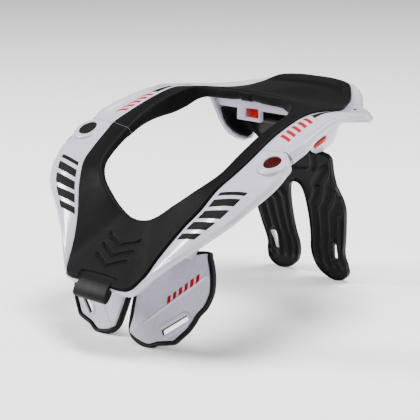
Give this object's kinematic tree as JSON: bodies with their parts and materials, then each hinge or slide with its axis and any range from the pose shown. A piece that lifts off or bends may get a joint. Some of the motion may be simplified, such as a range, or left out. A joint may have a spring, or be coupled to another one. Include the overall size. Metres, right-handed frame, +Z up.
{
  "type": "motocross neck brace",
  "caption": "Rigid neck brace for off-road riding: padded collar hinged at one side with a release button, chest plates and a back strut.",
  "frame": {"origin": "on the floor under the middle of the bounding box", "axes": "+Z up, -Y where the wearer faces, +X to the wearer's left"},
  "size_m": [0.2794, 0.3468, 0.216],
  "materials": {
    "shell": "glossy moulded nylon, white with a lavender cast",
    "foam": "satin charcoal closed-cell foam",
    "rubber": "matte black rubber",
    "strut": "satin black moulded plastic",
    "cap": "matte black",
    "button": "dark red gloss",
    "clip": "bright red gloss"
  },
  "bodies": {
    "rear_frame": {"rear_shell": "shell", "rear_pad": "foam", "rear_bracket": "shell", "wing_pad_left": "rubber", "wing_pad_right": "rubber"},
    "front_yoke": {"front_shell": "shell", "front_pad": "foam", "front_tab": "rubber", "chest_plate_left": "shell", "chest_plate_right": "shell", "chest_pad_left": "rubber", "chest_pad_right": "rubber", "pivot_cap": "cap"},
    "button": {"release_button": "button"},
    "strut": {"back_strut": "strut"},
    "front_clip": {"strut_clip_front": "clip"},
    "left_clip": {"strut_clip_side_left": "clip"},
    "right_clip": {"strut_clip_side_right": "clip"}
  },
  "joints": [
    {"name": "side_hinge", "type": "hinge", "parent": "rear_frame", "child": "front_yoke", "pos_m": [-0.12, -0.05455, 0.174], "axis": [0, 0.454, -0.891], "range_deg": [0, 60]},
    {"name": "release_button", "type": "slide", "parent": "front_yoke", "child": "button", "axis": [0, 0.454, -0.891], "range_m": [0, 0.0025], "stiffness_N_per_m": 600},
    {"name": "strut_tilt", "type": "hinge", "parent": "rear_frame", "child": "strut", "pos_m": [0, 0.09845, 0.177], "axis": [1, 0, 0], "range_deg": [-5, 5]},
    {"name": "front_clip_slide", "type": "slide", "parent": "rear_frame", "child": "front_clip", "axis": [-1, 0, 0], "range_m": [0, 0.002]},
    {"name": "left_clip_slide", "type": "slide", "parent": "rear_frame", "child": "left_clip", "axis": [0.3443, 0.788, 0.5104], "range_m": [0, 0.002]},
    {"name": "right_clip_slide", "type": "slide", "parent": "rear_frame", "child": "right_clip", "axis": [-0.3443, 0.788, 0.5104], "range_m": [0, 0.002]}
  ]
}
